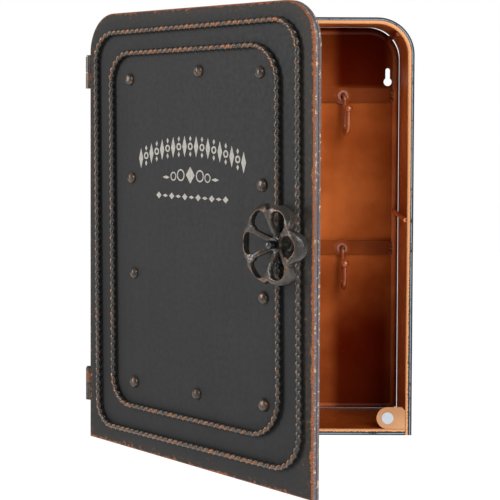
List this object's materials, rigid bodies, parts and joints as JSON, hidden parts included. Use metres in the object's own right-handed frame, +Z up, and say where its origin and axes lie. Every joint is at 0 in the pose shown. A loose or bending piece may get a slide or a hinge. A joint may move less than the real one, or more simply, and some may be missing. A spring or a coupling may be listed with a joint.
{
  "type": "wall key cabinet",
  "caption": "Wall key cabinet with arched top corners, open interior with key hooks on rails, and a hinged riveted door with rod trim and a turning handwheel.",
  "frame": {"origin": "middle of the flat back face that lies on the wall", "axes": "+X to the right seen from the front, +Y into the wall, +Z up"},
  "size_m": [0.2727, 0.3138, 0.35],
  "materials": {
    "rust_brown_paint": "worn satin paint, brown with coppery wear",
    "worn_black_paint": "worn satin black paint with coppery edges",
    "worn_black_rod": "worn black paint on twisted rod",
    "bronzed_wire": "glossy brown lacquer",
    "copper_paint": "copper coloured paint, scratched",
    "magnet": "bright plated",
    "bronzed_rivets": "dark bronze, glossy",
    "pale_print": "flat printed ink",
    "hinge_steel": "worn dark steel",
    "cast_wheel": "blackened casting with coppery wear",
    "bolt_steel": "plain steel"
  },
  "bodies": {
    "case": {"case_wrap": "worn_black_paint", "case_floor": "rust_brown_paint", "back_panel": "rust_brown_paint", "back_frame": "rust_brown_paint", "side_brace_left": "rust_brown_paint", "side_brace_right": "rust_brown_paint", "corner_strut_left": "rust_brown_paint", "corner_strut_right": "rust_brown_paint", "hook_rail_upper": "rust_brown_paint", "hook_rail_lower": "rust_brown_paint", "hook_rosettes": "bronzed_wire", "key_hooks_upper": "bronzed_wire", "key_hooks_lower": "bronzed_wire", "catch_plate": "copper_paint", "catch_magnet": "magnet", "hinge_leaf_upper": "rust_brown_paint", "hinge_leaf_lower": "rust_brown_paint", "hinge_pin_upper": "hinge_steel", "hinge_pin_lower": "hinge_steel"},
    "door": {"door_skin": "worn_black_paint", "door_liner": "worn_black_paint", "outer_rope": "worn_black_rod", "inner_rope": "worn_black_rod", "door_rivets": "bronzed_rivets", "door_ornament": "pale_print", "door_knuckle_upper": "hinge_steel", "door_knuckle_lower": "hinge_steel", "wheel_base": "cast_wheel", "wheel_bolt": "bolt_steel", "bolt_washer": "bolt_steel", "bolt_nut": "bolt_steel"},
    "handwheel": {"handwheel": "cast_wheel"}
  },
  "joints": [
    {"name": "door_swing", "type": "hinge", "parent": "case", "child": "door", "pos_m": [-0.1367, -0.094, 0], "axis": [0, 0, -1], "range_deg": [-48.7, 131.3]},
    {"name": "handwheel_spin", "type": "hinge", "parent": "door", "child": "handwheel", "pos_m": [0.01784, -0.28582, 0.004], "axis": [-0.7513, -0.66, 0], "continuous": true}
  ]
}
